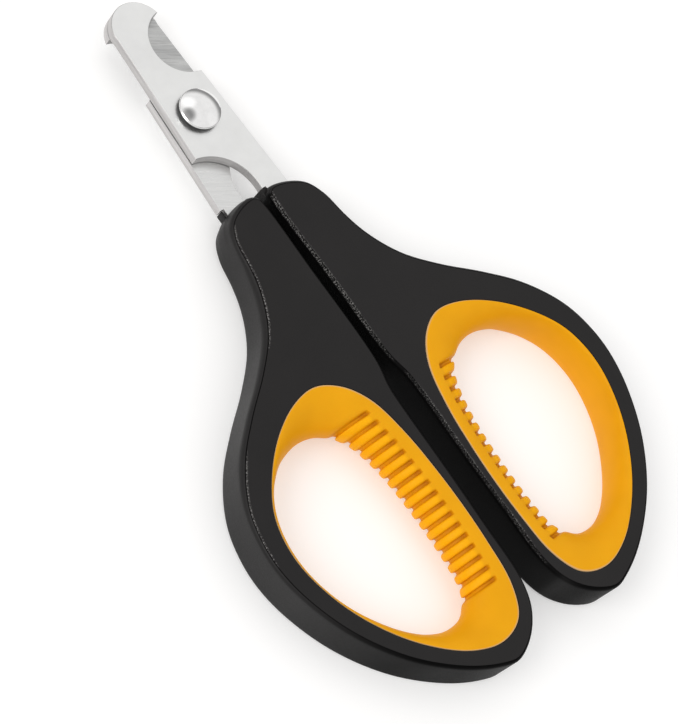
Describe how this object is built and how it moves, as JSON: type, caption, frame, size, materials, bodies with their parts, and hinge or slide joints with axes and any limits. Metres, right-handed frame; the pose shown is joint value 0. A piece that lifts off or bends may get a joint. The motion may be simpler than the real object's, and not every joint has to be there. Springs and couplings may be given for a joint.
{
  "type": "scissor nail clipper",
  "caption": "Pet nail scissors with hooked notched blades on a domed rivet and black ring handles with ridged yellow finger liners.",
  "frame": {"origin": "centre of the closed tool's bounding box: on its long axis, midway between the two blades, 42.245 mm below the rivet axis", "axes": "+Y along the closed scissors towards the blade tips, +X towards the right handle, +Z out of the front face, along the rivet axis"},
  "size_m": [0.0816, 0.13, 0.009],
  "materials": {
    "blade_steel": "satin ground stainless steel, fine cross brushing on the flanks",
    "rivet_steel": "mirror polished dome",
    "handle_black": "fine spark-eroded matte black moulding with smoother side walls",
    "grip_yellow": "soft satin thermoplastic rubber"
  },
  "bodies": {
    "left_half": {"rear_blade": "blade_steel", "left_handle": "handle_black", "left_grip": "grip_yellow", "rivet_head": "rivet_steel", "rivet_cap": "rivet_steel"},
    "right_half": {"front_blade": "blade_steel", "right_handle": "handle_black", "right_grip": "grip_yellow"}
  },
  "joints": [
    {"name": "opening", "type": "hinge", "parent": "left_half", "child": "right_half", "pos_m": [0, 0.04224, 0], "axis": [0, 0, 1], "range_deg": [0, 60]}
  ]
}
